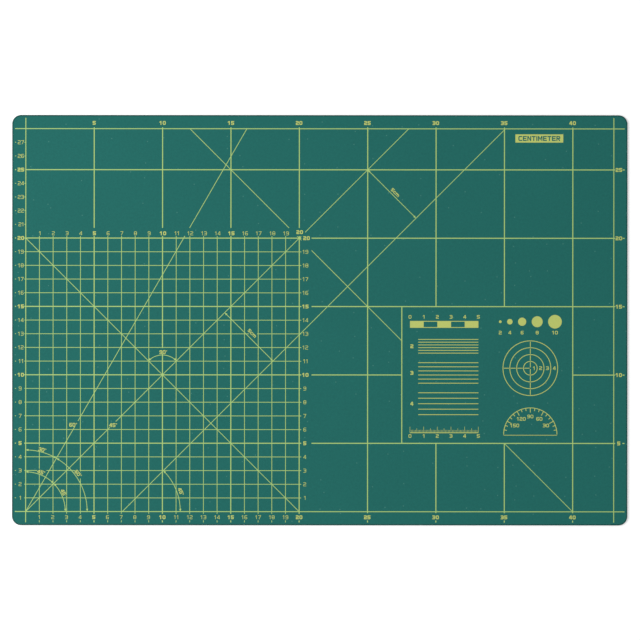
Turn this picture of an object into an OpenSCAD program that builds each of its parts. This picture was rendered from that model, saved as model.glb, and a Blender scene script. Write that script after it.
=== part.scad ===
// Flexible self healing cutting mat, a three ply laminate with a printed centimetre scale.
// Sizes are in millimetres. X runs along the mat, Y away from the near edge, Z up.
// The origin is the middle of the underside, where the mat rests on the table.

/* [Grid] */
// Pitch of the printed grid
cell = 10; // [8:0.5:12]
// Grid cells along the printed field
field_cols = 43; // [41:1:50]
// Grid cells across the printed field
field_rows = 28; // [27:1:36]
// Grid cells along each side of the finely ruled square
fine_cells = 20; // [16:1:22]
// Grid cells from one bold line to the next
bold_step = 5; // [4:1:6]

/* [Mat] */
// Bare margin from the printed field to the cut edge
margin = 10; // [8:0.5:16]
// Radius of the four corners, seen from above
corner_r = 6.5; // [2:0.5:10]
// Rounding that the cutting die leaves along the upper and lower edges
edge_r = 0.25; // [0.1:0.05:0.3]

/* [Plies] */
// Thickness of the soft upper ply, which closes again over a cut
top_ply_t = 0.5; // [0.4:0.1:1]
// Thickness of the hard middle ply, which stops the blade
core_ply_t = 0.6; // [0.3:0.1:1.2]
// Thickness of the soft lower ply, which grips the table
bottom_ply_t = 0.5; // [0.4:0.1:1]

/* [Ink] */
// Thickness of the printed film
ink_t = 0.04; // [0.02:0.01:0.1]
// Width of the border lines
border_w = 0.6; // [0.5:0.05:1]
// Width of the bold lines and of the panel frame
bold_w = 0.7; // [0.5:0.05:1]
// Width of the fine lines
fine_w = 0.45; // [0.3:0.05:0.8]
// Width of the slanted lines, arcs and spacing bars
angle_w = 0.46; // [0.3:0.02:0.6]
// Length of an arrowhead
head_l = 2; // [1.5:0.1:3]
// Width of an arrowhead across its barbs
head_w = 1.6; // [1:0.1:2]

/* [Line ends] */
// Bare rim that the border lines and the edge dashes leave at the cut edge
edge_clear = 2.1; // [1:0.1:4]
// Length of the dashes that stand outside the near and right numbers
dash_l = 1.5; // [0.8:0.1:2]
// Length of the dashes that stand outside the left numbers
left_dash_l = 0.8; // [0.6:0.1:2]
// Run of the ruled lines past the left, right and far borders
overrun = 1; // [0.5:0.1:2]
// Run of the fine square's lines past the near border
foot_run = 1.6; // [0.5:0.1:2.4]
// Run of the fine square's lines past its own far and right sides
square_run = 1.5; // [0.5:0.1:1.9]
// Depth of the number row beyond the fine square, where slanted and upright lines stop
row_depth = 7.5; // [5:0.5:10]
// Depth of the number column beside the fine square, where level lines stop
col_depth = 9; // [6:0.5:12]
// Reach of the number row past the corner of the fine square
row_reach = 4.3; // [2:0.1:7]
// Reach of the number column past the corner of the fine square
col_reach = 2; // [1:0.1:4]

/* [Angles] */
// Slope of the steep ray from the zero corner, in degrees
steep_angle = 60; // [50:5:75]
// Cells between the two parallel rays at 45 degrees, measured square to them
ray_spacing = 5; // [3:0.5:6]
// Place of the near spacing bar along the long axis, in cells
near_bar_at = 14.55; // [8:0.05:16]
// Place of the far spacing bar along the long axis, in cells
far_bar_at = 25; // [23:0.5:26]
// Distance of the near bar's label from the bar's foot, along the mat
bar_label_x = 20.2; // [16:0.1:24]
// Distance of the near bar's label from the bar's foot, towards the near edge
bar_label_y = 15; // [11:0.1:19]
// Radius of the outer arc at the zero corner
outer_arc_r = 45; // [36:1:60]
// Radius of the inner arc at the zero corner
inner_arc_r = 29; // [20:1:34]
// Radius of the arc at the foot of the second ray
foot_arc_r = 42.4; // [20:0.2:60]
// Radius of the arc at the middle of the fine square
centre_arc_r = 14.5; // [10:0.1:15]
// Length of the gap left in the ruling for a label
label_l = 7; // [5:0.1:9]
// Height of the gap left in the ruling for a label
label_h = 4.2; // [3:0.1:5]

/* [Panel] */
// Cells along the framed panel, measured back from the last bold line
panel_cols = 12.5; // [8:0.5:14]
// Cells across the framed panel, measured from the first bold line
panel_rows = 10; // [6:1:12]
// Length of the solid plate that carries the unit
plate_l = 35; // [20:1:38]
// Height of the solid plate that carries the unit
plate_h = 6; // [4:0.5:10]
// Gap from the unit plate to the last bold line
plate_gap_x = 7; // [2:0.5:12]
// Gap from the unit plate to the far border
plate_gap_y = 4; // [2:0.5:10]

/* [Hidden] */
$fn = 96;
// Slope of the diagonals, which halve the square cells
diagonal = 45;
field_l = field_cols * cell;
field_d = field_rows * cell;
fine_side = fine_cells * cell;
mat_l = field_l + 2 * margin;
mat_d = field_d + 2 * margin;
mat_t = bottom_ply_t + core_ply_t + top_ply_t;
border_run = margin - edge_clear;
last_bold_x = floor(field_cols / bold_step) * bold_step * cell;
last_bold_y = floor(field_rows / bold_step) * bold_step * cell;
panel_l = panel_cols * cell;
panel_d = panel_rows * cell;
panel_x = last_bold_x - panel_l;
panel_y = bold_step * cell;
ray_offset = ray_spacing * cell / sin(diagonal);
// Longest slanted line that the field can hold, cut back to the field where it is drawn
long_run = field_l + field_d;
ink = "#bfbb6a";
mat_green = "#286a62";
core_green = "#173f3c";

// Middle and tilt of each label that interrupts the ruling, in cells and degrees. The labels on
// the two rays from the zero corner interrupt these rays as well.
RAY_LABELS = [[3.54, 6.42, 0], [6.48, 6.38, 0]];
ARC_LABELS = [
    [1.25, 4.53, -14], [1.18, 2.87, -14], [3.87, 2.76, -50],
    [fine_cells / 2 + 0.06, fine_cells / 2 + 1.75, 0],
    [near_bar_at + bar_label_x / cell, near_bar_at - bar_label_y / cell, -diagonal]
];

function is_bold(i) = i % bold_step == 0 || i == fine_cells;

// A level, an upright and a slanted line, each centred on its own axis.
module level_line(x1, x2, y, w) {
    translate([x1, y - w / 2])
        square([x2 - x1, w]);
}

module upright_line(x, y1, y2, w) {
    translate([x - w / 2, y1])
        square([w, y2 - y1]);
}

module slanted_line(foot, angle, run, w) {
    translate(foot)
        rotate(angle)
            translate([0, -w / 2])
                square([run, w]);
}

// An arrowhead with its tip at a point, aimed along an angle.
module arrowhead(tip, angle) {
    translate(tip)
        rotate(angle)
            polygon([[0, 0], [-head_l, head_w / 2], [-head_l, -head_w / 2]]);
}

// A band of the line width round a centre, from one angle up to another, less than 180 apart.
module arc_band(centre, r, from, to) {
    reach = 2 * r;
    mid = (from + to) / 2;
    translate(centre)
        intersection() {
            difference() {
                circle(r + angle_w / 2);
                circle(r - angle_w / 2);
            }
            polygon([
                [0, 0], [reach * cos(from), reach * sin(from)],
                [reach * cos(mid), reach * sin(mid)] * 1.5, [reach * cos(to), reach * sin(to)]
            ]);
        }
}

// An arrowhead on an arc, with its tip at an angle. Turn is 1 for a head that points
// anticlockwise and -1 for one that points clockwise.
module arc_head(centre, r, angle, turn) {
    arrowhead(centre + [r * cos(angle), r * sin(angle)], angle + turn * 90);
}

// An arc that ends in an arrowhead at each side.
module headed_arc(centre, r, from, to) {
    slack = head_l / 2 / r * 180 / PI;
    arc_band(centre, r, from + slack, to - slack);
    arc_head(centre, r, from, -1);
    arc_head(centre, r, to, 1);
}

module field_area() {
    square([field_l, field_d]);
}

// Clear strips beside the fine square, where its numbers stand.
module number_strips() {
    translate([cell / 2, fine_side + square_run])
        square([fine_side + row_reach - cell / 2, row_depth - square_run]);
    translate([fine_side + square_run, cell / 2])
        square([col_depth - square_run, fine_side + col_reach - cell / 2]);
}

module label_gaps(labels) {
    for (label = labels)
        translate([label[0], label[1]] * cell)
            rotate(label[2])
                square([label_l, label_h], center = true);
}

module border_figure() {
    for (x = [0, field_l])
        upright_line(x, -border_run, field_d + border_run, border_w);
    for (y = [0, field_d])
        level_line(-border_run, field_l + border_run, y, border_w);
}

module panel_area(grow) {
    translate([panel_x - grow, panel_y - grow])
        square([panel_l + 2 * grow, panel_d + 2 * grow]);
}

module panel_figure() {
    difference() {
        panel_area(bold_w / 2);
        panel_area(-bold_w / 2);
    }
}

// Lines of the fine square, either the bold ones or the fine ones between them.
module square_figure(bold, w) {
    difference() {
        for (i = [1 : fine_cells])
            if (is_bold(i) == bold) {
                upright_line(i * cell, -foot_run, fine_side + square_run, w);
                level_line(-overrun, fine_side + square_run, i * cell, w);
            }
        label_gaps(RAY_LABELS);
        label_gaps(ARC_LABELS);
    }
}

// Bold lines of the open field, which stop short of the numbers round the fine square.
module open_figure() {
    step = bold_step * cell;
    difference() {
        union() {
            for (x = [step : step : last_bold_x])
                upright_line(x, x > fine_side ? -overrun : fine_side + row_depth,
                    field_d + overrun, bold_w);
            for (y = [step : step : last_bold_y])
                level_line(y > fine_side ? -overrun : fine_side + col_depth,
                    field_l + overrun, y, bold_w);
        }
        panel_area(bold_w / 2);
    }
}

module bold_figures() {
    border_figure();
    panel_figure();
    square_figure(true, bold_w);
    open_figure();
}

module ruled_figures() {
    bold_figures();
    square_figure(false, fine_w);
}

module steep_figure() {
    difference() {
        intersection() {
            slanted_line([0, 0], steep_angle, long_run, angle_w);
            field_area();
        }
        number_strips();
        label_gaps(RAY_LABELS);
    }
}

module zero_ray_figure() {
    difference() {
        intersection() {
            slanted_line([0, 0], diagonal, long_run, angle_w);
            field_area();
        }
        number_strips();
        label_gaps(RAY_LABELS);
        panel_area(0);
    }
}

module spacing_ray_figure() {
    difference() {
        intersection() {
            slanted_line([ray_offset, 0], diagonal, long_run, angle_w);
            field_area();
        }
        panel_area(0);
    }
}

module square_diagonal_figure() {
    intersection() {
        slanted_line([0, fine_side], -diagonal, long_run, angle_w);
        field_area();
    }
}

// The open diagonal runs through the far corner of the fine square, parallel to its own.
module open_diagonal_figure() {
    difference() {
        intersection() {
            slanted_line([fine_side - field_d, fine_side + field_d], -diagonal,
                long_run + field_l, angle_w);
            field_area();
        }
        number_strips();
        panel_area(0);
    }
}

module ray_figures() {
    steep_figure();
    zero_ray_figure();
    spacing_ray_figure();
    square_diagonal_figure();
    open_diagonal_figure();
}

module arc_figures() {
    zero = [0, 0];
    headed_arc(zero, outer_arc_r, 0, 90);
    arc_head(zero, outer_arc_r, steep_angle, 1);
    arc_head(zero, outer_arc_r, steep_angle, -1);
    headed_arc(zero, inner_arc_r, 0, 90);
    arc_head(zero, inner_arc_r, diagonal, 1);
    arc_head(zero, inner_arc_r, diagonal, -1);
    headed_arc([ray_offset, 0], foot_arc_r, 0, diagonal);
    headed_arc([fine_side, fine_side] / 2, centre_arc_r, diagonal, 180 - diagonal);
}

// A short double ended arrow across the two parallel rays.
module spacing_bar(at) {
    start = [at, at] * cell;
    run = ray_spacing * cell;
    aim = [cos(diagonal), -sin(diagonal)];
    slanted_line(start + aim * head_l / 2, -diagonal, run - head_l, angle_w);
    arrowhead(start, 180 - diagonal);
    arrowhead(start + aim * run, -diagonal);
}

module bar_figures() {
    spacing_bar(near_bar_at);
    spacing_bar(far_bar_at);
}

// Ticks on the left border beyond the fine square, and the dashes outside the edge numbers.
// A dash is as wide as the line whose number it marks.
module tick_figures() {
    near = -border_run;
    right = field_l + border_run;
    step = bold_step * cell;
    for (j = [fine_cells + 1 : field_rows - 1])
        level_line(-overrun, 0, j * cell, fine_w);
    for (j = [1 : field_rows - 1])
        level_line(near, near + left_dash_l, j * cell, is_bold(j) ? bold_w : fine_w);
    for (i = [1 : fine_cells])
        upright_line(i * cell, near, near + dash_l, is_bold(i) ? bold_w : fine_w);
    for (x = [step : step : last_bold_x])
        upright_line(x, near, near + dash_l, bold_w);
    for (y = [step : step : last_bold_y])
        level_line(right - dash_l, right, y, bold_w);
}

// Lays a flat figure on the mat as a film of ink.
module printed() {
    color(ink)
        translate([-field_l / 2, -field_d / 2, mat_t])
            linear_extrude(ink_t)
                children();
}

// Cross section of a ply, centred on X, with its chosen edges rounded.
module ply_section(w, t, low_r, high_r) {
    difference() {
        translate([-w / 2, 0])
            square([w, t]);
        for (side = [-1, 1]) {
            translate([side * w / 2, 0])
                corner_waste(low_r, [-side, 1]);
            translate([side * w / 2, t])
                corner_waste(high_r, [-side, -1]);
        }
    }
}

// The sharp corner outside a rounded one. Inward gives the way to the round's centre.
module corner_waste(r, inward) {
    if (r > 0)
        difference() {
            square(2 * r, center = true);
            translate(inward * r)
                circle(r);
        }
}

// A ply is two crossing bars and four turned corners of the same section.
module ply(z, t, low_r, high_r) {
    half_l = mat_l / 2 - corner_r;
    half_d = mat_d / 2 - corner_r;
    translate([0, 0, z]) {
        translate([-half_l, 0, 0])
            rotate([90, 0, 90])
                linear_extrude(2 * half_l)
                    ply_section(mat_d, t, low_r, high_r);
        translate([0, half_d, 0])
            rotate([90, 0, 0])
                linear_extrude(2 * half_d)
                    ply_section(mat_l, t, low_r, high_r);
        for (x = [-half_l, half_l], y = [-half_d, half_d])
            translate([x, y, 0])
                rotate_extrude()
                    intersection() {
                        ply_section(2 * corner_r, t, low_r, high_r);
                        square([corner_r, t]);
                    }
    }
}

module bottom_ply() {
    color(mat_green)
        ply(0, bottom_ply_t, edge_r, 0);
}

module core_ply() {
    color(core_green)
        ply(bottom_ply_t, core_ply_t, 0, 0);
}

module top_ply() {
    color(mat_green)
        ply(bottom_ply_t + core_ply_t, top_ply_t, 0, edge_r);
}

module border_lines() {
    printed()
        border_figure();
}

module panel_frame() {
    printed()
        panel_figure();
}

module bold_square_lines() {
    printed()
        difference() {
            square_figure(true, bold_w);
            border_figure();
        }
}

module open_field_lines() {
    printed()
        difference() {
            open_figure();
            border_figure();
        }
}

module fine_square_lines() {
    printed()
        difference() {
            square_figure(false, fine_w);
            bold_figures();
        }
}

module steep_ray() {
    printed()
        difference() {
            steep_figure();
            ruled_figures();
        }
}

module zero_ray() {
    printed()
        difference() {
            zero_ray_figure();
            ruled_figures();
            steep_figure();
        }
}

module spacing_ray() {
    printed()
        difference() {
            spacing_ray_figure();
            ruled_figures();
            steep_figure();
        }
}

module square_diagonal() {
    printed()
        difference() {
            square_diagonal_figure();
            ruled_figures();
            steep_figure();
            zero_ray_figure();
            spacing_ray_figure();
        }
}

module open_diagonal() {
    printed()
        difference() {
            open_diagonal_figure();
            ruled_figures();
            steep_figure();
            zero_ray_figure();
            spacing_ray_figure();
        }
}

module angle_arcs() {
    printed()
        difference() {
            arc_figures();
            ruled_figures();
            ray_figures();
        }
}

module spacing_bars() {
    printed()
        difference() {
            bar_figures();
            ruled_figures();
            ray_figures();
        }
}

module edge_ticks() {
    printed()
        difference() {
            tick_figures();
            border_figure();
        }
}

module unit_plate() {
    printed()
        translate([last_bold_x - plate_gap_x - plate_l, field_d - plate_gap_y - plate_h])
            square([plate_l, plate_h]);
}

bottom_ply();
core_ply();
top_ply();
border_lines();
panel_frame();
bold_square_lines();
open_field_lines();
fine_square_lines();
steep_ray();
zero_ray();
spacing_ray();
square_diagonal();
open_diagonal();
angle_arcs();
spacing_bars();
edge_ticks();
unit_plate();
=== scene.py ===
"""Looks of a flexible self healing cutting mat with a printed centimetre scale.

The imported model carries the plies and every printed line. This script adds the figures of the
scale and a panel of measuring aids, gives each surface its finish, and sets up a plain studio.
"""

import logging
import math
from dataclasses import dataclass, field
from enum import Enum
from typing import Any, Sequence

import bpy
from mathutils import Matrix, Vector
from mathutils.geometry import tessellate_polygon


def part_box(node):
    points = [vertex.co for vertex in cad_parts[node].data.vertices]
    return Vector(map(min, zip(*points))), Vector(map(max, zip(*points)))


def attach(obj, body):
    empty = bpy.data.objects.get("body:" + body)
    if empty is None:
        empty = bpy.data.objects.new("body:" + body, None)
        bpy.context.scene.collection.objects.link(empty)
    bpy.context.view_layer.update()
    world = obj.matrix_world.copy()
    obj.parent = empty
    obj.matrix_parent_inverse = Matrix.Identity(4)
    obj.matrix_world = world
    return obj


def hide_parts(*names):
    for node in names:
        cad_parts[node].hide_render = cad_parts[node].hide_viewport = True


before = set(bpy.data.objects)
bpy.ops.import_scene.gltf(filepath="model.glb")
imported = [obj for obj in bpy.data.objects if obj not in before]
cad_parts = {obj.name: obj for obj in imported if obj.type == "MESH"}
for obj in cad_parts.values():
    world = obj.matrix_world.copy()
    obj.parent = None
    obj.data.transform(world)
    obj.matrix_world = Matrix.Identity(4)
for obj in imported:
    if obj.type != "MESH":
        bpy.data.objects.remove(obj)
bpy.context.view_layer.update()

BODY = "root"
MM = 0.001

log = logging.getLogger("cutting_mat")

Point = tuple[float, float]
# A corner point, followed by a radius where it is rounded.
Corner = tuple[float, ...]
Colour = tuple[float, float, float]


def linear(red: int, green: int, blue: int) -> Colour:
    """Turns a screen colour into the linear one that a shader takes.

    Args:
        red: Red from 0 to 255.
        green: Green from 0 to 255.
        blue: Blue from 0 to 255.

    Returns:
        The linear colour.
    """
    def channel(level: int) -> float:
        """Linear value of one screen level."""
        part = level / 255
        return part / 12.92 if part <= 0.04045 else ((part + 0.055) / 1.055) ** 2.4

    return channel(red), channel(green), channel(blue)


class Val:
    """A number that varies over a surface: one shader socket with arithmetic."""

    def __init__(self, graph: "Graph", socket: bpy.types.NodeSocket) -> None:
        """Keeps a socket and the graph that it belongs to."""
        self.graph = graph
        self.socket = socket

    def maths(self, operation: str, *others: Any, first: bool = True) -> "Val":
        """Adds one Math node.

        Args:
            operation: The node's operation.
            others: The other operands, as values or numbers.
            first: Whether this value is the first operand, and not the second.

        Returns:
            The node's result.
        """
        operands = dict(enumerate([self, *others] if first else [*others, self]))
        node = self.graph.node("ShaderNodeMath", {"operation": operation}, operands)
        return Val(self.graph, node.outputs[0])

    def __add__(self, other: Any) -> "Val":
        """Sum."""
        return self.maths("ADD", other)

    __radd__ = __add__

    def __sub__(self, other: Any) -> "Val":
        """Difference."""
        return self.maths("SUBTRACT", other)

    def __rsub__(self, other: Any) -> "Val":
        """Difference from a number."""
        return self.maths("SUBTRACT", other, first=False)

    def __mul__(self, other: Any) -> "Val":
        """Product."""
        return self.maths("MULTIPLY", other)

    __rmul__ = __mul__

    def __pow__(self, other: Any) -> "Val":
        """Power."""
        return self.maths("POWER", other)

    def __abs__(self) -> "Val":
        """Size without sign."""
        return self.maths("ABSOLUTE")

    def at_least(self, other: Any) -> "Val":
        """The greater of two values."""
        return self.maths("MAXIMUM", other)

    def at_most(self, other: Any) -> "Val":
        """The lesser of two values."""
        return self.maths("MINIMUM", other)

    def rising(self, low: float, high: float) -> "Val":
        """A smooth step.

        Args:
            low: Where the step leaves 0.
            high: Where it reaches 1, which may be below low for a falling step.

        Returns:
            A value from 0 to 1.
        """
        span = self.graph.node(
            "ShaderNodeMapRange",
            {"interpolation_type": "SMOOTHSTEP"},
            {"Value": self, "From Min": low, "From Max": high, "To Min": 0.0, "To Max": 1.0},
        )
        return Val(self.graph, span.outputs["Result"])


class Graph:
    """The node tree of one material, or of the world."""

    def __init__(self, owner: bpy.types.ID) -> None:
        """Empties the owner's tree and keeps it.

        Args:
            owner: The material or world.
        """
        owner.use_nodes = True
        self.owner = owner
        self.tree = owner.node_tree
        self.tree.nodes.clear()

    def node(
        self,
        kind: str,
        settings: dict[str, Any] | None = None,
        sockets: dict[Any, Any] | None = None,
    ) -> bpy.types.Node:
        """Adds a node.

        Args:
            kind: The node's type.
            settings: Its properties, which are set first.
            sockets: Values or links of its inputs, by name or by number.

        Returns:
            The node.
        """
        made = self.tree.nodes.new(kind)
        for name, value in (settings or {}).items():
            setattr(made, name, value)
        for name, value in (sockets or {}).items():
            source = value.socket if isinstance(value, Val) else value
            if isinstance(source, bpy.types.NodeSocket):
                self.tree.links.new(source, made.inputs[name])
            else:
                made.inputs[name].default_value = source
        return made

    def place(self) -> tuple[bpy.types.NodeSocket, Val, Val, Val]:
        """Finds the point on the surface.

        Returns:
            The point in metres, as a vector and as its three parts.
        """
        vector = self.node("ShaderNodeTexCoord").outputs["Object"]
        parts = self.node("ShaderNodeSeparateXYZ", None, {"Vector": vector})
        return vector, *(Val(self, parts.outputs[axis]) for axis in "XYZ")

    def noise(self, vector: bpy.types.NodeSocket, per_metre: float, detail: float = 2.0) -> Val:
        """Cloudy noise about zero.

        Args:
            vector: The point that it is read at.
            per_metre: Its lumps in a metre.
            detail: Its octaves.

        Returns:
            A value from about -0.5 to 0.5.
        """
        middle = 0.5
        node = self.node(
            "ShaderNodeTexNoise", {"noise_dimensions": "3D"},
            {"Vector": vector, "Scale": per_metre, "Detail": detail},
        )
        return Val(self, node.outputs["Fac"]) - middle

    def specks(
        self, vector: bpy.types.NodeSocket, per_metre: float, radius: float, share: float
    ) -> Val:
        """Small round specks strewn over the surface.

        Args:
            vector: The point that they are read at.
            per_metre: How many places for a speck lie along a metre.
            radius: A speck's radius as a share of the room between places.
            share: The share of the places that hold a speck.

        Returns:
            1 in a speck and 0 elsewhere.
        """
        cells = self.node(
            "ShaderNodeTexVoronoi", {"voronoi_dimensions": "2D"},
            {"Vector": vector, "Scale": per_metre},
        )
        tone = self.node("ShaderNodeSeparateColor", None, {"Color": cells.outputs["Color"]})
        picked = Val(self, tone.outputs["Red"]).maths("LESS_THAN", share)
        return Val(self, cells.outputs["Distance"]).rising(radius, radius / 2) * picked

    def mix(
        self, factor: Val | float, first: Any, second: Any, blend: str = "MIX"
    ) -> bpy.types.NodeSocket:
        """Mixes two colours.

        Args:
            factor: How far the mix goes to the second.
            first: A colour or a socket.
            second: A colour or a socket.
            blend: The way of mixing.

        Returns:
            The colour.
        """
        first_input, second_input, colour_output = 6, 7, 2

        def whole(colour: Any) -> Any:
            """A plain colour with its alpha, or the socket as it is."""
            return (*colour, 1.0) if isinstance(colour, tuple) else colour

        node = self.node(
            "ShaderNodeMix", {"data_type": "RGBA", "blend_type": blend},
            {0: factor, first_input: whole(first), second_input: whole(second)},
        )
        return node.outputs[colour_output]

    def shade(self, colour: Any, factor: Val) -> bpy.types.NodeSocket:
        """Scales the brightness of a colour by a value."""
        grey = self.node("ShaderNodeCombineColor", None, dict.fromkeys([0, 1, 2], factor))
        return self.mix(1.0, colour, grey.outputs["Color"], "MULTIPLY")

    def blend(self, factor: Val, first: bpy.types.Node, second: bpy.types.Node) -> bpy.types.Node:
        """Mixes two shaders, from the first at 0 to the second at 1."""
        sockets = {0: factor, 1: first.outputs[0], 2: second.outputs[0]}
        return self.node("ShaderNodeMixShader", None, sockets)

    def surface(
        self, colour: Any, roughness: Val | float, specular: float, relief: Val, depth: float
    ) -> bpy.types.ID:
        """Finishes the material with one glossy and diffuse surface.

        Args:
            colour: Base colour.
            roughness: Roughness.
            specular: Specular level.
            relief: Height of the relief, in its own depth.
            depth: Depth of the relief in metres.

        Returns:
            The material.
        """
        relief_sockets = {"Strength": 1.0, "Distance": depth, "Height": relief}
        bump = self.node("ShaderNodeBump", None, relief_sockets)
        skin = self.node(
            "ShaderNodeBsdfPrincipled", None,
            {
                "Base Color": colour, "Roughness": roughness, "Specular IOR Level": specular,
                "Normal": bump.outputs["Normal"],
            },
        )
        self.node("ShaderNodeOutputMaterial", None, {"Surface": skin.outputs["BSDF"]})
        return self.owner


@dataclass(frozen=True)
class SoftVinyl:
    """Matte soft vinyl of the upper and lower plies, with a fine grain and painted shade along the
    cut edge.
    """

    colour: Colour = linear(31, 103, 96)
    dust: Colour = linear(96, 152, 140)
    half_length: float = 225 * MM
    half_depth: float = 150 * MM
    corner: float = 6.5 * MM
    # Painted shade along the cut edge, for the rounded edge turning from the light: its width, the
    # share where it is fullest, and its darkest level.
    rim: float = 1.25 * MM
    rim_inner_share: float = 0.45
    rim_level: float = 0.5
    grain_per_metre: float = 1500.0
    grain_tone: float = 0.2
    coarse_per_metre: float = 620.0
    coarse_tone: float = 0.22
    clouds_per_metre: float = 14.0
    cloud_tone: float = 0.08
    specks_per_metre: float = 85.0
    speck_radius: float = 0.045
    speck_share: float = 0.33
    speck_strength: float = 0.45
    grain_depth: float = 0.03 * MM
    roughness: float = 0.78
    roughness_change: float = 0.12
    specular: float = 0.13

    def depth_in(self, x: Val, y: Val) -> Val:
        """How far a point lies inside the cut outline, in metres.

        Args:
            x: Place along the mat.
            y: Place across the mat.

        Returns:
            The distance to the outline, positive inside.
        """
        along = abs(x) - (self.half_length - self.corner)
        across = abs(y) - (self.half_depth - self.corner)
        outside = (along.at_least(0.0) ** 2.0 + across.at_least(0.0) ** 2.0) ** 0.5
        inside = along.at_least(across).at_most(0.0)
        return self.corner - outside - inside

    def material(self, name: str) -> bpy.types.Material:
        """Makes the finish.

        Args:
            name: The material's name.

        Returns:
            The material.
        """
        graph = Graph(bpy.data.materials.new(name))
        vector, x, y, _ = graph.place()
        grain = graph.noise(vector, self.grain_per_metre)
        cloud = graph.noise(vector, self.clouds_per_metre)
        # Painted shade: the colour darkens towards the cut edge, where the rounded edge turns away
        # from the light.
        rim = self.depth_in(x, y).rising(self.rim, self.rim * self.rim_inner_share)
        coarse = graph.noise(vector, self.coarse_per_metre, 1.0)
        mottle = grain * self.grain_tone + coarse * self.coarse_tone + cloud * self.cloud_tone
        # The grain's random tone, darkened by the painted edge shade.
        tone = (1.0 + mottle) * (1.0 - rim * (1.0 - self.rim_level))
        specks = graph.specks(vector, self.specks_per_metre, self.speck_radius, self.speck_share)
        colour = graph.mix(specks * self.speck_strength, graph.shade(self.colour, tone), self.dust)
        roughness = grain * self.roughness_change + self.roughness
        return graph.surface(colour, roughness, self.specular, grain, self.grain_depth)


@dataclass(frozen=True)
class HardVinyl:
    """Harder, darker vinyl of the middle ply, seen only along the cut edge."""

    colour: Colour = linear(23, 63, 60)
    marks_per_metre: float = 2600.0
    mark_detail: float = 3.0
    mark_tone: float = 0.25
    mark_depth: float = 0.02 * MM
    roughness: float = 0.6
    roughness_change: float = 0.1
    specular: float = 0.3

    def material(self, name: str) -> bpy.types.Material:
        """Makes the finish, with the fine marks that the cutting die leaves.

        Args:
            name: The material's name.

        Returns:
            The material.
        """
        graph = Graph(bpy.data.materials.new(name))
        vector, *_ = graph.place()
        marks = graph.noise(vector, self.marks_per_metre, self.mark_detail)
        colour = graph.shade(self.colour, 1.0 + marks * self.mark_tone)
        roughness = marks * self.roughness_change + self.roughness
        return graph.surface(colour, roughness, self.specular, marks, self.mark_depth)


@dataclass(frozen=True)
class ScreenInk:
    """Pale yellow screen print, a little thin in places."""

    colour: Colour = linear(190, 201, 108)
    thin: Colour = linear(164, 190, 114)
    mesh_per_metre: float = 1900.0
    mesh_share: float = 0.3
    patches_per_metre: float = 55.0
    patch_detail: float = 3.0
    patch_share: float = 0.9
    thins_from: float = -0.1
    thins_to: float = 0.4
    most_thin: float = 0.5
    film_depth: float = 0.006 * MM
    roughness: float = 0.62
    roughness_change: float = 0.1
    specular: float = 0.25

    def material(self, name: str) -> bpy.types.Material:
        """Makes the finish.

        Args:
            name: The material's name.

        Returns:
            The material.
        """
        graph = Graph(bpy.data.materials.new(name))
        vector, *_ = graph.place()
        mesh_marks = graph.noise(vector, self.mesh_per_metre)
        patches = graph.noise(vector, self.patches_per_metre, self.patch_detail)
        unevenness = patches * self.patch_share + mesh_marks * self.mesh_share
        thinness = unevenness.rising(self.thins_from, self.thins_to) * self.most_thin
        colour = graph.mix(thinness, self.colour, self.thin)
        roughness = mesh_marks * self.roughness_change + self.roughness
        return graph.surface(colour, roughness, self.specular, mesh_marks, self.film_depth)


@dataclass(frozen=True)
class LineInk(ScreenInk):
    """The same ink in narrow lines, where its film is thinner and lets the green through."""

    colour: Colour = linear(172, 203, 118)
    thin: Colour = linear(148, 194, 122)


@dataclass(frozen=True)
class StudioFloor:
    """White studio floor, which reads as white to the camera and keeps the mat's soft shadow.

    The lamp lights it less far out, so its lift grows with the distance from the mat.
    """

    colour: Colour = (0.8, 0.8, 0.8)
    near_lift: float = 0.34
    far_lift: float = 0.64
    lift_grows_from: float = 0.1
    lift_grows_to: float = 1.0

    def material(self, name: str) -> bpy.types.Material:
        """Makes the finish.

        Args:
            name: The material's name.

        Returns:
            The material.
        """
        graph = Graph(bpy.data.materials.new(name))
        _, x, y, _ = graph.place()
        distance = (x * x + y * y) ** 0.5
        reach = distance.rising(self.lift_grows_from, self.lift_grows_to)
        diffuse = graph.node("ShaderNodeBsdfDiffuse", None, {"Color": (*self.colour, 1.0)})
        near = graph.node("ShaderNodeEmission", None, {"Strength": self.near_lift})
        far = graph.node("ShaderNodeEmission", None, {"Strength": self.far_lift})
        glow = graph.blend(reach, near, far)
        both = graph.node("ShaderNodeAddShader", None, {0: diffuse.outputs[0], 1: glow.outputs[0]})
        seen = graph.blend(seen_directly(graph), diffuse, both)
        graph.node("ShaderNodeOutputMaterial", None, {"Surface": seen.outputs[0]})
        return graph.owner


def seen_directly(graph: Graph) -> Val:
    """Tells the rays that show a surface from those that only light it.

    Args:
        graph: The graph of the material or world.

    Returns:
        1 for rays that come from the camera, a mirror or glass, and 0 for the others.
    """
    path = graph.node("ShaderNodeLightPath")
    camera, glossy, clear = (
        Val(graph, path.outputs[name])
        for name in ("Is Camera Ray", "Is Glossy Ray", "Is Transmission Ray")
    )
    return camera.at_least(glossy).at_least(clear)


def polar(centre: Sequence[float], radius: float, angle: float) -> Point:
    """The point at a distance and an angle, in radians, from a centre."""
    return centre[0] + radius * math.cos(angle), centre[1] + radius * math.sin(angle)


def turned(loop: Sequence[Point], degrees: float, centre: Point) -> list[Point]:
    """Turns an outline about zero and carries it to a place.

    Args:
        loop: The outline.
        degrees: Its turn, anticlockwise.
        centre: Where zero comes to lie.

    Returns:
        The outline in its place.
    """
    cos, sin = math.cos(math.radians(degrees)), math.sin(math.radians(degrees))
    return [(centre[0] + x * cos - y * sin, centre[1] + x * sin + y * cos) for x, y in loop]


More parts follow.
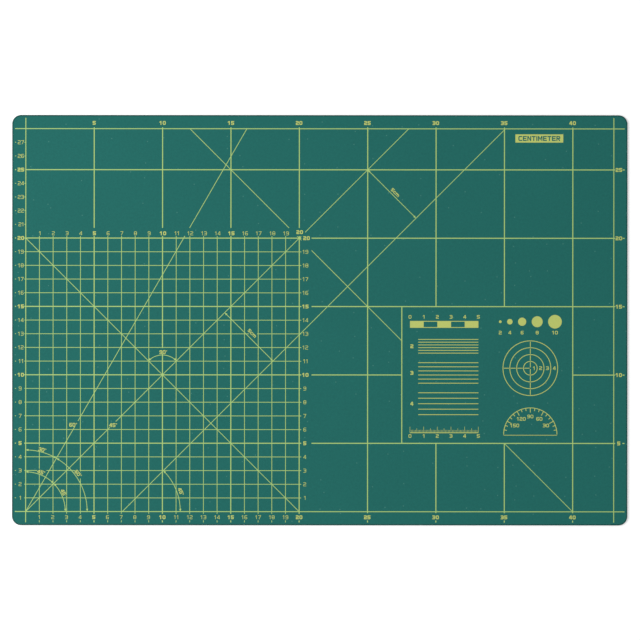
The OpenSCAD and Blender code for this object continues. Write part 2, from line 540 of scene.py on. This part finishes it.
def rounded(corners: Sequence[Corner], steps: int = 4) -> list[Point]:
    """Turns corners with radii into a closed outline.

    Args:
        corners: Corner points, followed by a radius where they are rounded.
        steps: Points that one rounding adds beyond its first.

    Returns:
        The outline's points.
    """
    outline: list[Point] = []
    for index, (x, y, *turning) in enumerate(corners):
        if not turning:
            outline.append((x, y))
            continue
        here, radius = Vector((x, y)), turning[0]
        back = (Vector(corners[index - 1][:2]) - here).normalized()
        ahead = (Vector(corners[(index + 1) % len(corners)][:2]) - here).normalized()
        half = back.angle(ahead) / 2
        run = radius / math.tan(half)
        centre = here + (back + ahead).normalized() * (radius / math.sin(half))
        start, end = here + back * run - centre, here + ahead * run - centre
        turn = start.angle_signed(end)
        first = math.atan2(start.y, start.x)
        for step in range(steps + 1):
            outline.append(polar(centre, radius, first - turn * step / steps))
    return outline


def signed_area(outline: Sequence[Point]) -> float:
    """Area of an outline, positive if it runs anticlockwise."""
    following = [*outline[1:], outline[0]]
    return sum(a[0] * b[1] - b[0] * a[1] for a, b in zip(outline, following)) / 2


def oblong(x1: float, y1: float, x2: float, y2: float) -> list[Point]:
    """The outline of a rectangle between two corners."""
    return [(x1, y1), (x2, y1), (x2, y2), (x1, y2)]


@dataclass(frozen=True)
class Glyph:
    """One figure or letter: its outer outline, its counters and its width."""

    width: float
    outer: list[Point]
    counters: list[list[Point]] = field(default_factory=list)


@dataclass(frozen=True)
class Lettering:
    """A square, wide lettering with rounded corners, drawn at one size and weight.

    A sign that follows a one stands off from it by one_gap more. The shares are shares of a
    sign's width or height.
    """

    height: float
    width: float
    stroke: float
    gap: float
    one_gap: float = 0.6
    round_share: float = 0.34
    small_letter_share: float = 0.78
    degree_share: float = 0.33
    ring_stroke_share: float = 0.27
    least_counter_turn: float = 0.06
    least_block_turn: float = 0.08
    block_fit: float = 2.05
    ring_fit: float = 2.01
    tight: float = 0.99

    def counter_turn(self) -> float:
        """Radius of the inner corners, which leaves the stroke even round a bend."""
        return max(self.width * self.round_share - self.stroke, self.least_counter_turn)

    def block(self, bottom: float, top: float, inset: float = 0.0) -> list[Point]:
        """A rounded block over the width of a figure.

        Args:
            bottom: Its lower edge.
            top: Its upper edge.
            inset: How far its sides stand in from the figure's.

        Returns:
            The outline.
        """
        turn = max(self.width * self.round_share - inset, self.least_block_turn)
        turn = min(turn, (top - bottom) / self.block_fit)
        corners = oblong(inset, bottom, self.width - inset, top)
        return rounded([(x, y, turn) for x, y in corners])

    def ring(self, size: float) -> Glyph:
        """Draws the small raised ring of a degree sign.

        Args:
            size: The ring's outer diameter.

        Returns:
            The glyph.
        """
        radius, across = size / 2, size / self.ring_fit
        along = self.height - size + across

        def circle(reach: float) -> list[Point]:
            """A circle about the ring's middle."""
            corners = oblong(across - reach, along - reach, across + reach, along + reach)
            return rounded([(x, y, reach * self.tight) for x, y in corners])

        return Glyph(size, circle(radius), [circle(radius - size * self.ring_stroke_share)])

    def glyph(self, sign: str) -> Glyph:
        """Draws one sign.

        Args:
            sign: A figure, a letter of the unit, or a degree sign.

        Returns:
            The glyph.
        """
        w, h, s = self.width, self.height, self.stroke
        m, t = h / 2, s / 2
        r, q = w * self.round_share, self.counter_turn()
        if sign == "0":
            return Glyph(w, self.block(0, h), [self.block(s, h - s, s)])
        if sign == "1":
            flag = w * 0.34
            tip = h - flag * 0.85
            return Glyph(flag + s, rounded([
                (flag, 0), (flag + s, 0), (flag + s, h), (flag - s * 0.1, h), (0, tip),
                (0, tip - s * 0.95), (flag, h - s * 1.3),
            ]))
        if sign == "2":
            return Glyph(w, rounded([
                (0, h), (w, h, r), (w, m - t, r), (s, m - t, q), (s, s), (w, s), (w, 0), (0, 0),
                (0, m + t, r), (w - s, m + t, q), (w - s, h - s, q), (0, h - s),
            ]))
        if sign == "3":
            waist = w * 0.18
            return Glyph(w, rounded([
                (0, h), (w, h, r), (w, 0, r), (0, 0), (0, s), (w - s, s, q), (w - s, m - t, q),
                (waist, m - t), (waist, m + t), (w - s, m + t, q), (w - s, h - s, q), (0, h - s),
            ]))
        if sign == "4":
            right, bar = w * 0.86, h * 0.2
            heel, top = s * 0.15, right - s * 1.35
            foot = bar + s + heel
            slope = (h - foot) / top
            shift = s * math.sqrt(1 + 1 / slope**2)
            inner = right - s
            return Glyph(w, rounded([
                (inner, 0), (right, 0), (right, bar), (w, bar), (w, bar + s), (right, bar + s),
                (right, h), (top, h), (0, foot), (0, bar), (inner, bar),
            ]), [rounded([
                (shift - heel / slope, bar + s), (inner, bar + s),
                (inner, foot + slope * (inner - shift)),
            ])])
        if sign == "5":
            return Glyph(w, rounded([
                (w, h), (w, h - s), (s, h - s), (s, m + t), (w, m + t, r), (w, 0, r), (0, 0),
                (0, s), (w - s, s, q), (w - s, m - t, q), (0, m - t), (0, h),
            ]))
        if sign == "6":
            return Glyph(w, rounded([
                (w, h), (w, h - s), (s, h - s, q), (s, m + t), (w, m + t, r), (w, 0, r),
                (0, 0, r), (0, h, r),
            ]), [self.block(s, m - t, s)])
        if sign == "9":
            six = self.glyph("6")
            loops = [[(w - x, h - y) for x, y in loop] for loop in (six.outer, *six.counters)]
            return Glyph(w, loops[0], loops[1:])
        if sign == "7":
            foot = w * 0.22
            return Glyph(w, rounded([
                (0, h), (w, h), (w, h - s), (foot + s * 1.1, 0), (foot, 0), (w - s * 1.15, h - s),
                (0, h - s),
            ]))
        if sign == "8":
            counters = [self.block(s, m - t, s), self.block(m + t, h - s, s)]
            return Glyph(w, self.block(0, h), counters)
        if sign == "°":
            return self.ring(h * self.degree_share)
        return self.letter(sign)

    def letter(self, sign: str) -> Glyph:
        """Draws one letter of the unit.

        Args:
            sign: One of the letters C, E, I, M, N, R, T, or a small c or m.

        Returns:
            The glyph.
        """
        w, h, s = self.width, self.height, self.stroke
        if sign.islower():
            h = h * self.small_letter_share
        m, t = h / 2, s / 2
        r, q = w * self.round_share, self.counter_turn()
        if sign in "Cc":
            return Glyph(w, rounded([
                (w, 0), (w, s), (s, s, q), (s, h - s, q), (w, h - s), (w, h), (0, h, r),
                (0, 0, r),
            ]))
        if sign == "E":
            short = w * 0.9
            return Glyph(w, rounded([
                (0, 0), (w, 0), (w, s), (s, s), (s, m - t), (short, m - t), (short, m + t),
                (s, m + t), (s, h - s), (w, h - s), (w, h), (0, h),
            ]))
        if sign == "I":
            return Glyph(s, oblong(0, 0, s, h))
        if sign == "N":
            slant, notch = s * 1.1, s * 1.5
            return Glyph(w, rounded([
                (0, 0), (s, 0), (s, h - notch), (w - slant, 0), (w, 0), (w, h), (w - s, h),
                (w - s, notch), (slant, h), (0, h),
            ]))
        if sign == "T":
            c = w / 2
            return Glyph(w, rounded([
                (0, h), (0, h - s), (c - t, h - s), (c - t, 0), (c + t, 0), (c + t, h - s),
                (w, h - s), (w, h),
            ]))
        if sign == "M":
            wide, slant = w * 1.15, s * 1.1
            c, shoulder, dip, valley = wide / 2, h * 0.6, h * 0.08, h * 0.45
            return Glyph(wide, rounded([
                (0, 0), (s, 0), (s, shoulder), (c, dip), (wide - s, shoulder), (wide - s, 0),
                (wide, 0), (wide, h), (wide - slant, h), (c, valley), (slant, h), (0, h),
            ]))
        if sign == "m":
            wide = w * 1.45
            c = wide / 2
            return Glyph(wide, rounded([
                (0, 0), (s, 0), (s, h - s), (c - t, h - s), (c - t, 0), (c + t, 0),
                (c + t, h - s), (wide - s, h - s, q), (wide - s, 0), (wide, 0), (wide, h, r),
                (0, h),
            ]))
        if sign == "R":
            leg, bowl_turn = w * 0.4, r * 0.8
            return Glyph(w, rounded([
                (0, 0), (s, 0), (s, m - t), (leg, m - t), (w - s * 1.2, 0), (w, 0),
                (leg + s * 1.25, m - t), (w, m - t, bowl_turn), (w, h, r), (0, h),
            ]), [rounded([(s, m + t), (w - s, m + t, q), (w - s, h - s, q), (s, h - s)])])
        raise ValueError(f"the lettering has no sign {sign!r}")

    def line(self, text: str) -> tuple[list[tuple[float, Glyph]], float]:
        """Sets signs side by side.

        Args:
            text: The signs.

        Returns:
            Each sign's place and glyph, and the width of the whole.
        """
        places, at, before = [], 0.0, ""
        for sign in text:
            if before == "1":
                at += self.one_gap
            glyph = self.glyph(sign)
            places.append((at, glyph))
            at += glyph.width + self.gap
            before = sign
        return places, at - self.gap


class Weight(Enum):
    """The weights in which the figures of the scale are printed."""

    PLAIN = Lettering(height=2.8, width=2.05, stroke=0.36, gap=0.36)
    BOLD = Lettering(height=2.8, width=2.22, stroke=0.68, gap=0.34)
    ANGLE = Lettering(height=2.8, width=2.12, stroke=0.56, gap=0.26)
    SPACING = Lettering(height=2.45, width=2.0, stroke=0.54, gap=0.26)
    PANEL = Lettering(height=2.6, width=2.1, stroke=0.48, gap=0.28)
    UNIT = Lettering(height=3.6, width=2.84, stroke=0.78, gap=0.43)


@dataclass
class InkSheet:
    """Gathers flat figures, in millimetres from the printed zero, and makes them one film."""

    name: str
    zero: Point = (-215.0, -140.0)
    vertices: list[tuple[float, float, float]] = field(default_factory=list)
    faces: list[tuple[int, ...]] = field(default_factory=list)

    def levels(self) -> tuple[float, float]:
        """Underside and top of the film, in metres."""
        low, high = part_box("border_lines")
        return low.z, high.z

    def fill(self, outer: Sequence[Point], holes: Sequence[Sequence[Point]] = ()) -> None:
        """Adds a closed prism over an outline.

        Args:
            outer: The outline.
            holes: Outlines of the openings in it.
        """
        loops = [list(outer) if signed_area(outer) > 0 else list(outer)[::-1]]
        loops += [list(hole) if signed_area(hole) < 0 else list(hole)[::-1] for hole in holes]
        points = [point for loop in loops for point in loop]
        low, high = self.levels()
        first, count = len(self.vertices), len(points)
        left, near = self.zero
        for z in (low, high):
            self.vertices += [((x + left) * MM, (y + near) * MM, z) for x, y in points]
        flat = [[Vector((x, y, 0.0)) for x, y in loop] for loop in loops]
        for triangle in tessellate_polygon(flat):
            a, b, c = triangle
            if signed_area([points[a], points[b], points[c]]) < 0:
                a, b, c = c, b, a
            self.faces.append((first + count + a, first + count + b, first + count + c))
            self.faces.append((first + c, first + b, first + a))
        start = first
        for loop in loops:
            for index in range(len(loop)):
                here, ahead = start + index, start + (index + 1) % len(loop)
                self.faces.append((here, ahead, ahead + count, here + count))
            start += len(loop)

    def text(self, content: str | int, weight: Weight, centre: Point, tilt: float = 0.0) -> None:
        """Prints a number or signs about a point.

        Args:
            content: The number or the signs.
            weight: Their weight.
            centre: The middle of the signs, without a degree sign.
            tilt: Their turn in degrees, anticlockwise.
        """
        style: Lettering = weight.value
        signs = str(content)
        places, _ = style.line(signs)
        _, width = style.line(signs.rstrip("°"))

        def placed(loop: Sequence[Point], at: float) -> list[Point]:
            """A loop of a sign, set in its place on the mat."""
            moved = [(x + at - width / 2, y - style.height / 2) for x, y in loop]
            return turned(moved, tilt, centre)

        for at, glyph in places:
            self.fill(placed(glyph.outer, at), [placed(loop, at) for loop in glyph.counters])

    def bar(self, x1: float, y1: float, x2: float, y2: float) -> None:
        """Adds a filled rectangle between two corners."""
        self.fill(oblong(x1, y1, x2, y2))

    def spoke(self, centre: Point, angle: float, near: float, far: float, thick: float) -> None:
        """Adds a straight line that points away from a centre.

        Args:
            centre: The centre.
            angle: The way that it points, in degrees.
            near: Its near end's distance.
            far: Its far end's distance.
            thick: Its width.
        """
        self.fill(turned(oblong(near, -thick / 2, far, thick / 2), angle, centre))

    def arc(self, centre: Point, radius: float, thick: float, end: float = 360.0) -> None:
        """Adds a round line that starts at the right and runs anticlockwise.

        Args:
            centre: Its centre.
            radius: Its radius to the middle of the line.
            thick: The line's width.
            end: Its last angle in degrees, where a full turn makes a ring.
        """
        closed = end >= 360.0
        degrees_in_step = 4
        steps = round(end / degrees_in_step)
        angles = [math.radians(end * step / steps) for step in range(steps + (not closed))]
        outer, inner = (
            [polar(centre, reach, angle) for angle in angles]
            for reach in (radius + thick / 2, radius - thick / 2)
        )
        if closed:
            self.fill(outer, [inner])
        else:
            self.fill([*outer, *reversed(inner)])

    def disc(self, centre: Point, radius: float) -> None:
        """Adds a filled round."""
        steps = 32
        self.fill([polar(centre, radius, math.tau * step / steps) for step in range(steps)])

    def piece(self, ink: bpy.types.Material, *replaced: str) -> bpy.types.Object:
        """Makes the film a piece of the mat.

        Args:
            ink: Its finish.
            replaced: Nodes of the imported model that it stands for.

        Returns:
            The piece.
        """
        mesh = bpy.data.meshes.new(self.name)
        mesh.from_pydata(self.vertices, [], self.faces)
        mesh.materials.append(ink)
        mesh.validate()
        mesh.update()
        made = bpy.data.objects.new(self.name, mesh)
        bpy.context.scene.collection.objects.link(made)
        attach(made, BODY)
        if replaced:
            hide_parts(*replaced)
        log.info("%s: %d faces", self.name, len(mesh.polygons))
        return made


@dataclass
class Scale:
    """The layout that the numbers of the scale share, in millimetres from the printed zero."""

    cell: float = 10.0
    columns: int = 43
    rows: int = 28
    fine: int = 20
    bold_step: int = 5
    first_double: int = 10

    def weight(self, number: int) -> Weight:
        """Weight of a number of the scale."""
        return Weight.BOLD if number % self.bold_step == 0 else Weight.PLAIN

    def pick(self, number: int, single: float, double: float) -> float:
        """One value for a number of one figure, and another for a number of two."""
        return single if number < self.first_double else double

    def bold_numbers(self, cells: int) -> range:
        """The bold numbers that stand within some cells."""
        return range(self.bold_step, cells, self.bold_step)


@dataclass
class EdgeNumbers:
    """Numbers between the border lines and the cut edge."""

    scale: Scale
    ink: bpy.types.Material
    single_x: float = -4.05
    double_x: float = -3.6
    near_y: float = -4.1
    single_shift: float = -0.15
    beyond_shift: float = -0.2
    far_y: float = 284.2
    right_x: float = 433.7

    def build(self) -> None:
        """Prints the numbers of the four edges."""
        scale, cell = self.scale, self.scale.cell
        left = InkSheet("left_edge_numbers")
        for number in range(1, scale.rows):
            x = scale.pick(number, self.single_x, self.double_x)
            left.text(number, scale.weight(number), (x, number * cell))
        near = InkSheet("near_edge_numbers")
        for number in range(1, scale.fine + 1):
            shift = scale.pick(number, self.single_shift, 0.0)
            near.text(number, scale.weight(number), (number * cell + shift, self.near_y))
        for number in scale.bold_numbers(scale.columns):
            if number > scale.fine:
                x = number * cell + self.beyond_shift
                near.text(number, Weight.BOLD, (x, self.near_y))
        far = InkSheet("far_edge_numbers")
        for number in scale.bold_numbers(scale.columns):
            shift = self.beyond_shift if number >= scale.fine else 0.0
            far.text(number, Weight.BOLD, (number * cell + shift, self.far_y))
        right = InkSheet("right_edge_numbers")
        for number in scale.bold_numbers(scale.rows):
            right.text(number, Weight.BOLD, (self.right_x, number * cell))
        for sheet in (left, near, far, right):
            sheet.piece(self.ink)


@dataclass
class SquareNumbers:
    """Numbers along the far side and the right side of the finely ruled square."""

    scale: Scale
    ink: bpy.types.Material
    single_shift: float = 0.2
    double_shift: float = 0.35
    row_y: float = 203.5
    single_x: float = 204.1
    double_x: float = 204.5
    last_row: Point = (200.3, 204.4)
    last_column: Point = (205.3, 200.0)

    def build(self) -> None:
        """Prints the row and the column."""
        scale = self.scale
        row, column = InkSheet("square_row_numbers"), InkSheet("square_column_numbers")
        for number in range(1, scale.fine):
            shift = scale.pick(number, self.single_shift, self.double_shift)
            row.text(number, scale.weight(number), (number * scale.cell + shift, self.row_y))
            x = scale.pick(number, self.single_x, self.double_x)
            column.text(number, scale.weight(number), (x, number * scale.cell))
        row.text(scale.fine, Weight.BOLD, self.last_row)
        column.text(scale.fine, Weight.BOLD, self.last_column)
        row.piece(self.ink)
        column.piece(self.ink)


@dataclass
class AngleLabels:
    """Degrees beside the rays and arcs, and the length of the spacing bars.

    A label of degrees is its number, its place across and along, and its tilt.
    """

    ink: bpy.types.Material
    degrees: tuple[tuple[int, float, float, float], ...] = (
        (30, 11.5, 45.4, -15.0), (45, 10.8, 28.9, -17.0), (60, 38.0, 28.2, -50.0),
        (45, 27.5, 14.1, -62.0), (60, 34.1, 63.4, 0.0), (45, 63.4, 63.2, 0.0),
        (45, 113.2, 15.2, -65.0), (90, 100.0, 116.6, 0.0),
    )
    spacings: tuple[Point, ...] = ((165.6, 130.4), (270.2, 233.4))
    spacing_tilt: float = -45.0

    def build(self) -> None:
        """Prints the labels."""
        sheet = InkSheet("angle_labels")
        for angle, x, y, tilt in self.degrees:
            sheet.text(f"{angle}°", Weight.ANGLE, (x, y), tilt)
        sheet.piece(self.ink)
        spans = InkSheet("spacing_labels")
        for centre in self.spacings:
            spans.text("5cm", Weight.SPACING, centre, self.spacing_tilt)
        spans.piece(self.ink)


@dataclass
class UnitPlate:
    """The solid plate with the unit left open in it, so that the mat shows through."""

    ink: bpy.types.Material
    word: str = "CENTIMETER"

    def build(self) -> None:
        """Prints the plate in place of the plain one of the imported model."""
        sheet = InkSheet("unit_plate_print")
        paint("unit_plate", self.ink)
        low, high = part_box("unit_plate")
        x1, x2 = (value / MM - sheet.zero[0] for value in (low.x, high.x))
        y1, y2 = (value / MM - sheet.zero[1] for value in (low.y, high.y))
        style: Lettering = Weight.UNIT.value
        places, width = style.line(self.word)
        left, bottom = (x1 + x2 - width) / 2, (y1 + y2 - style.height) / 2
        holes = [[(x + left + at, y + bottom) for x, y in glyph.outer] for at, glyph in places]
        sheet.fill(oblong(x1, y1, x2, y2), holes)
        for at, glyph in places:
            for loop in glyph.counters:
                sheet.fill([(x + left + at, y + bottom) for x, y in loop])
        sheet.piece(self.ink, "unit_plate")


@dataclass
class MeasuringPanel:
    """Plain measuring aids inside the framed panel, in millimetres from the printed zero."""

    ink: bpy.types.Material
    cell: float = 10.0
    thin: float = 0.5
    left: float = 281.0
    cells: int = 5
    block_bottom: float = 134.5
    block_top: float = 139.5
    block_number_rise: float = 3.0
    open_blocks: tuple[int, ...] = (1, 3)
    round_sizes: tuple[int, ...] = (2, 4, 6, 8, 10)
    round_left: float = 346.0
    round_middle: float = 139.0
    round_gap: float = 4.0
    round_number_drop: float = 8.0
    line_sets: tuple[tuple[int, float, int], ...] = ((2, 126.0, 6), (3, 109.0, 6), (4, 87.0, 5))
    line_number_at: float = 1.4
    line_start: float = 6.0
    ring_centre: Point = (369.0, 105.0)
    ring_step: float = 5.0
    rings: int = 4
    ring_number_inset: float = 2.45
    cross_angles: tuple[int, ...] = (90, 180, 270)
    cross_gap: float = 0.6
    cross_dash: float = 3.8
    arc_centre: Point = (369.0, 56.5)
    arc_radius: float = 19.5
    arc_base: Point = (-0.7, -0.3)
    arc_ticks: Point = (1.8, 3.2)
    arc_number_inset: float = 6.3
    arc_clear: float = 0.02
    rule_base: float = 58.0
    rule_tick: float = 0.26
    rule_heights: tuple[float, ...] = (1.8, 3.0, 4.2)
    rule_clear: float = 0.01
    rule_number_drop: float = 2.6

    def build(self) -> None:
        """Prints every aid."""
        aids = (self.block_scale, self.round_gauge, self.line_gauges, self.ring_gauge,
                self.protractor, self.fine_rule)
        for aid in aids:
            aid()

    def right(self) -> float:
        """Right end of the block scale, the line sets and the fine rule."""
        return self.left + self.cells * self.cell

    def block_scale(self) -> None:
        """Five centimetre blocks, filled and open in turn, with their numbers above."""
        sheet = InkSheet("panel_block_scale")
        bottom, top = self.block_bottom, self.block_top
        starts = [self.left + index * self.cell for index in self.open_blocks]
        windows = [oblong(x, bottom + self.thin, x + self.cell, top - self.thin) for x in starts]
        sheet.fill(oblong(self.left, bottom, self.right(), top), windows)
        self.number_row(sheet, top + self.block_number_rise)
        sheet.piece(self.ink)

    def number_row(self, sheet: InkSheet, y: float) -> None:
        """Prints the centimetres of the block scale or of the fine rule in a row."""
        for number in range(self.cells + 1):
            sheet.text(number, Weight.PANEL, (self.left + number * self.cell, y))

    def round_gauge(self) -> None:
        """Filled rounds of 2 to 10 mm, each with its diameter below."""
        sheet = InkSheet("panel_round_gauge")
        x, middle = self.round_left, self.round_middle
        for size in self.round_sizes:
            x += size / 2
            sheet.disc((x, middle), size / 2)
            sheet.text(size, Weight.PANEL, (x, middle - self.round_number_drop))
            x += size / 2 + self.round_gap
        sheet.piece(self.ink)

    def line_gauges(self) -> None:
        """Three sets of parallel lines, each with its spacing in millimetres."""
        sheet = InkSheet("panel_line_gauges")
        start, end = self.left + self.line_start, self.right()
        for spacing, top, count in self.line_sets:
            bottom = top - (count - 1) * spacing
            for index in range(count):
                y = top - index * spacing
                sheet.bar(start, y - self.thin / 2, end, y + self.thin / 2)
            place = self.left + self.line_number_at, (top + bottom) / 2
            sheet.text(spacing, Weight.BOLD, place)
        sheet.piece(self.ink)

    def ring_gauge(self) -> None:
        """Rings of 1 to 4 cm across one centre, each with its diameter."""
        sheet = InkSheet("panel_ring_gauge")
        centre = self.ring_centre
        for number in range(1, self.rings + 1):
            radius = number * self.ring_step
            sheet.arc(centre, radius, self.thin)
            place = centre[0] + radius - self.ring_number_inset, centre[1]
            sheet.text(number, Weight.PANEL, place)
        for angle in self.cross_angles:
            for ring in range(self.rings):
                near = ring * self.ring_step + self.cross_gap
                sheet.spoke(centre, angle, near, near + self.cross_dash, self.thin)
        sheet.piece(self.ink)

    def protractor(self) -> None:
        """A half round of degrees with a number at each thirty."""
        sheet = InkSheet("panel_protractor")
        centre, radius = self.arc_centre, self.arc_radius
        minor, major, half_turn = 10, 30, 180
        sheet.arc(centre, radius, self.thin, half_turn)
        low, high = (centre[1] + level for level in self.arc_base)
        sheet.bar(centre[0] - radius, low, centre[0] + radius, high)
        inner = radius - self.thin / 2
        for angle in range(minor, half_turn, minor):
            length = self.arc_ticks[angle % major == 0]
            sheet.spoke(centre, angle, inner - length, inner - self.arc_clear, self.thin)
        for angle in range(major, half_turn, major):
            place = polar(centre, radius - self.arc_number_inset, math.radians(angle))
            sheet.text(angle, Weight.PANEL, place)
        sheet.piece(self.ink)

    def fine_rule(self) -> None:
        """A five centimetre rule in millimetres."""
        sheet = InkSheet("panel_fine_rule")
        base, half = self.rule_base, self.rule_tick / 2
        small, middle, tall = self.rule_heights
        sheet.bar(self.left, base - self.thin, self.right(), base)
        for tick in range(round(self.cells * self.cell) + 1):
            height = tall if tick % 10 == 0 else middle if tick % 5 == 0 else small
            x = self.left + tick
            sheet.bar(x - half, base + self.rule_clear, x + half, base + height)
        self.number_row(sheet, base - self.rule_number_drop)
        sheet.piece(self.ink)


@dataclass
class Laminate:
    """The three plies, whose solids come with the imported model."""

    soft: SoftVinyl = SoftVinyl()
    hard: HardVinyl = HardVinyl()

    def dress(self) -> None:
        """Gives each ply its finish."""
        skins = {
            "top_ply": self.soft.material("soft_vinyl_upper"),
            "core_ply": self.hard.material("hard_vinyl_core"),
            "bottom_ply": self.soft.material("soft_vinyl_lower"),
        }
        for node, skin in skins.items():
            paint(node, skin)


@dataclass
class PrintedLines:
    """The ruled lines, rays, arcs and dashes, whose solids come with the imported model."""

    ink: bpy.types.Material
    nodes: tuple[str, ...] = (
        "border_lines", "panel_frame", "bold_square_lines", "open_field_lines", "fine_square_lines",
        "steep_ray", "zero_ray", "spacing_ray", "square_diagonal", "open_diagonal", "angle_arcs",
        "spacing_bars", "edge_ticks",
    )

    def dress(self) -> None:
        """Gives each group of lines the ink."""
        for node in self.nodes:
            paint(node, self.ink)


def paint(node: str, skin: bpy.types.Material) -> None:
    """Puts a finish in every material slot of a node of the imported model.

    Args:
        node: The node's name.
        skin: The finish.
    """
    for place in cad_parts[node].material_slots:
        place.material = skin
    log.info("%s: dressed", node)


@dataclass
class Studio:
    """Floor, light and camera of a plain studio, in metres from the middle of the mat."""

    lens: float = 85.0
    sensor: float = 36.0
    seen_width: float = 468.0 * MM
    aim_x: float = 0.18 * MM
    aim_y: float = 0.16 * MM
    roll: float = 0.0006
    world_strength: float = 0.46
    lamp_power: float = 20.5
    lamp_place: tuple[float, float, float] = (-1.1, 0.1, 1.3)
    lamp_size: float = 0.9
    floor_side: float = 8.0
    floor_drop: float = 0.1 * MM

    def build(self) -> None:
        """Sets up the whole studio."""
        self.set_floor()
        self.set_world()
        self.set_lamp()
        self.set_camera()
        bpy.context.scene.view_settings.view_transform = "Standard"

    def set_floor(self) -> None:
        """Lays the floor just under the mat."""
        half, z = self.floor_side / 2, -self.floor_drop
        mesh = bpy.data.meshes.new("studio_floor")
        corners = [(-half, -half, z), (half, -half, z), (half, half, z), (-half, half, z)]
        mesh.from_pydata(corners, [], [(0, 1, 2, 3)])
        mesh.materials.append(StudioFloor().material("studio_floor"))
        floor = bpy.data.objects.new("studio_floor", mesh)
        bpy.context.scene.collection.objects.link(floor)

    def set_world(self) -> None:
        """Lights the mat evenly from all round, with white behind it."""
        world = bpy.data.worlds.new("studio_world")
        bpy.context.scene.world = world
        graph = Graph(world)
        white = (1.0, 1.0, 1.0, 1.0)
        light, back = (
            graph.node("ShaderNodeBackground", None, {"Color": white, "Strength": strength})
            for strength in (self.world_strength, 1.0)
        )
        picked = graph.blend(seen_directly(graph), light, back)
        graph.node("ShaderNodeOutputWorld", None, {"Surface": picked.outputs[0]})

    def set_lamp(self) -> None:
        """Hangs one large soft lamp to the left of the mat."""
        data = bpy.data.lights.new("left_softbox", "AREA")
        data.shape, data.size, data.energy = "SQUARE", self.lamp_size, self.lamp_power
        lamp = bpy.data.objects.new("left_softbox", data)
        lamp.location = self.lamp_place
        lamp.rotation_euler = (-Vector(self.lamp_place)).to_track_quat("-Z", "Y").to_euler()
        bpy.context.scene.collection.objects.link(lamp)

    def set_camera(self) -> None:
        """Looks straight down at the print."""
        data = bpy.data.cameras.new("top_camera")
        data.type, data.lens, data.sensor_width = "PERSP", self.lens, self.sensor
        camera = bpy.data.objects.new("top_camera", data)
        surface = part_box("border_lines")[1].z
        height = surface + self.seen_width * self.lens / self.sensor
        camera.location = (self.aim_x, self.aim_y, height)
        camera.rotation_euler = (0.0, 0.0, self.roll)
        bpy.context.scene.collection.objects.link(camera)
        bpy.context.scene.camera = camera


def main() -> None:
    """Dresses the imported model, prints the figures and sets up the studio."""
    logging.basicConfig(level=logging.INFO, format="%(message)s")
    ink = ScreenInk().material("screen_ink")
    scale = Scale()
    Laminate().dress()
    PrintedLines(LineInk().material("line_ink")).dress()
    EdgeNumbers(scale, ink).build()
    SquareNumbers(scale, ink).build()
    AngleLabels(ink).build()
    UnitPlate(ink).build()
    MeasuringPanel(ink).build()
    Studio().build()


if __name__ == "__main__":
    main()
